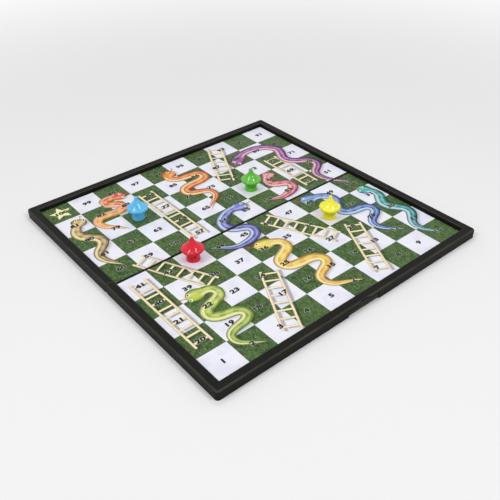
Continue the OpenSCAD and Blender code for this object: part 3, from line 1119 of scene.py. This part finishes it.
def lathe(outline, middle, top, sides):
    """Turns an outline round an upright axis, closed by a flat face at its start and a point at the top."""
    shape = bmesh.new()
    rings = [
        [shape.verts.new((*spot, middle.z + height)) for spot in circle(middle, radius, sides)]
        for radius, height in outline
    ]
    for lower, upper in zip(rings, rings[1:]):
        wall(shape, lower, upper)
    shape.faces.new(reversed(rings[0]))
    crown = shape.verts.new((middle.x, middle.y, middle.z + top))
    for k in range(sides):
        shape.faces.new((rings[-1][k], rings[-1][(k + 1) % sides], crown))
    return shape


class BOARD_OT_make_pawns(bpy.types.Operator):
    """Turns the four smooth pawns, with the seat of the magnet in the foot"""

    bl_idname = "board.make_pawns"
    bl_label = "Make the pawns"

    def execute(self, context):
        settings = context.scene.board.pawn
        for tint in PAWNS:
            low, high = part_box(f"{tint}_pawn")
            magnet_low, magnet_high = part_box(f"{tint}_magnet")
            middle = Vector(((low.x + high.x) / 2, (low.y + high.y) / 2, low.z))
            height = high.z - low.z
            seat = (magnet_high.x - magnet_low.x) / 2 + SEAT_GAP
            outline = [(seat, magnet_high.z - low.z), (seat, SEAT_CHAMFER), (seat + SEAT_CHAMFER, 0.0)]
            outline += pawn_outline(height, (high.x - low.x) / 2)
            shape = lathe(outline, middle, height, settings.sides)
            bmesh.ops.recalc_face_normals(shape, faces=shape.faces)
            mesh = plain_mesh(f"{tint}_smooth_pawn", shape)
            for face in mesh.polygons:
                face.use_smooth = len(face.vertices) < 5
            mesh.set_sharp_from_angle(angle=SHARP_ANGLE)
            material = pawn_plastic(f"{tint} pawn plastic", getattr(settings, tint))
            piece = new_piece(f"{tint}_smooth_pawn", mesh, f"{tint}_piece", material)
            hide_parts(f"{tint}_pawn")
        return {"FINISHED"}


# Stage


def seen_directly(tree):
    """1 where the camera, a reflection or a view through glass meets the surface, else 0."""
    path = add_node("ShaderNodeLightPath", tree=tree).outputs
    mirrored = maths("MAXIMUM", path["Is Glossy Ray"], path["Is Transmission Ray"])
    return maths("MAXIMUM", path["Is Camera Ray"], mirrored)


def fade_to_white(share, shader):
    """A shader turned into plain white by a share."""
    white = result("ShaderNodeEmission", tree=share.id_data)
    return result("ShaderNodeMixShader", (share, shader, white))


def lay_floor(settings):
    """A plain pale floor just under the board, which fades to white far from it."""
    gap, size, fade_from, fade_to = 0.0001, 6, 0.22, 0.9
    shape = bmesh.new()
    bmesh.ops.create_grid(shape, x_segments=1, y_segments=1, size=size)
    mesh = plain_mesh("floor", shape)
    mesh.transform(Matrix.Translation((0, 0, CAD_BOX[0].z - gap)))
    material, shader, place = new_material("floor paint")
    feed(shader, {
        "Base Color": blend(noise(place, 3), settings.floor, [c * 0.985 for c in settings.floor]),
        "Roughness": 0.9,
        "Specular IOR Level": 0.1,
    })
    away = add_node("ShaderNodeVectorMath", (place,), operation="LENGTH").outputs["Value"]
    share = product(span(away, fade_from, fade_to), seen_directly(material.node_tree))
    light = shader[0].node.outputs[0]
    feed(light.links[0].to_node.inputs, (fade_to_white(share, light),))
    coat(mesh, material)
    floor = new_object("floor", mesh)


def hang_lamps():
    """Soft rectangular lamps, all turned to the middle of the board."""
    for name, place, size, power in LAMPS:
        data = bpy.data.lights.new(name, "AREA")
        data.shape = "RECTANGLE"
        data.size, data.size_y = size
        data.energy = power
        lamp = new_object(name, data)
        lamp.location = place
        lamp.rotation_euler = (-Vector(place)).to_track_quat("-Z", "Y").to_euler()


def light_sky(strength):
    """Even light from all round, which the camera and reflections see as white."""
    world = bpy.data.worlds.new("sky")
    world.use_nodes = True
    bpy.context.scene.world = world
    tree = world.node_tree
    tree.nodes.clear()
    light = result("ShaderNodeBackground", {"Strength": strength}, tree)
    add_node("ShaderNodeOutputWorld", (fade_to_white(seen_directly(tree), light),))


def place_camera(settings):
    """The camera where the photograph's stood."""
    data = bpy.data.cameras.new("camera")
    data.sensor_width = 36
    data.lens = settings.lens
    data.clip_start, data.clip_end = 0.01, 50
    camera = new_object("camera", data)
    camera.location = settings.eye
    camera.rotation_euler = settings.turn
    bpy.context.scene.camera = camera


class BOARD_OT_set_stage(bpy.types.Operator):
    """Sets the floor, the lamps, the sky and the camera"""

    bl_idname = "board.set_stage"
    bl_label = "Set the stage"

    def execute(self, context):
        settings = context.scene.board.stage
        lay_floor(settings)
        hang_lamps()
        light_sky(settings.sky)
        place_camera(settings)
        context.scene.view_settings.view_transform = "Standard"
        return {"FINISHED"}


class BOARD_PT_sidebar(bpy.types.Panel):
    """Lists the steps that dress the board"""

    bl_label = "Snakes and ladders board"
    bl_idname = "BOARD_PT_sidebar"
    bl_space_type = "VIEW_3D"
    bl_region_type = "UI"
    bl_category = "Board"

    def draw(self, context):
        for step in STEPS:
            self.layout.operator(step.bl_idname)


STEPS = (
    BOARD_OT_set_stage, BOARD_OT_dress_case, BOARD_OT_dress_metal, BOARD_OT_print_squares,
    BOARD_OT_print_ladders, BOARD_OT_print_snakes, BOARD_OT_print_star, BOARD_OT_print_numbers,
    BOARD_OT_make_pawns,
)
GROUPS = (
    CaseSettings, PrintSettings, LadderSettings, SnakeSettings, PawnSettings, MetalSettings,
    StageSettings, BoardSettings,
)


def register():
    for item in (*GROUPS, *STEPS, BOARD_PT_sidebar):
        bpy.utils.register_class(item)
    bpy.types.Scene.board = PointerProperty(type=BoardSettings)


def unregister():
    del bpy.types.Scene.board
    for item in reversed((*GROUPS, *STEPS, BOARD_PT_sidebar)):
        bpy.utils.unregister_class(item)


def main():
    register()
    bpy.ops.board.set_stage()
    bpy.ops.board.dress_case()
    bpy.ops.board.dress_metal()
    bpy.ops.board.print_squares()
    bpy.ops.board.print_ladders()
    bpy.ops.board.print_snakes()
    bpy.ops.board.print_star()
    bpy.ops.board.print_numbers()
    bpy.ops.board.make_pawns()


if __name__ == "__main__":
    main()
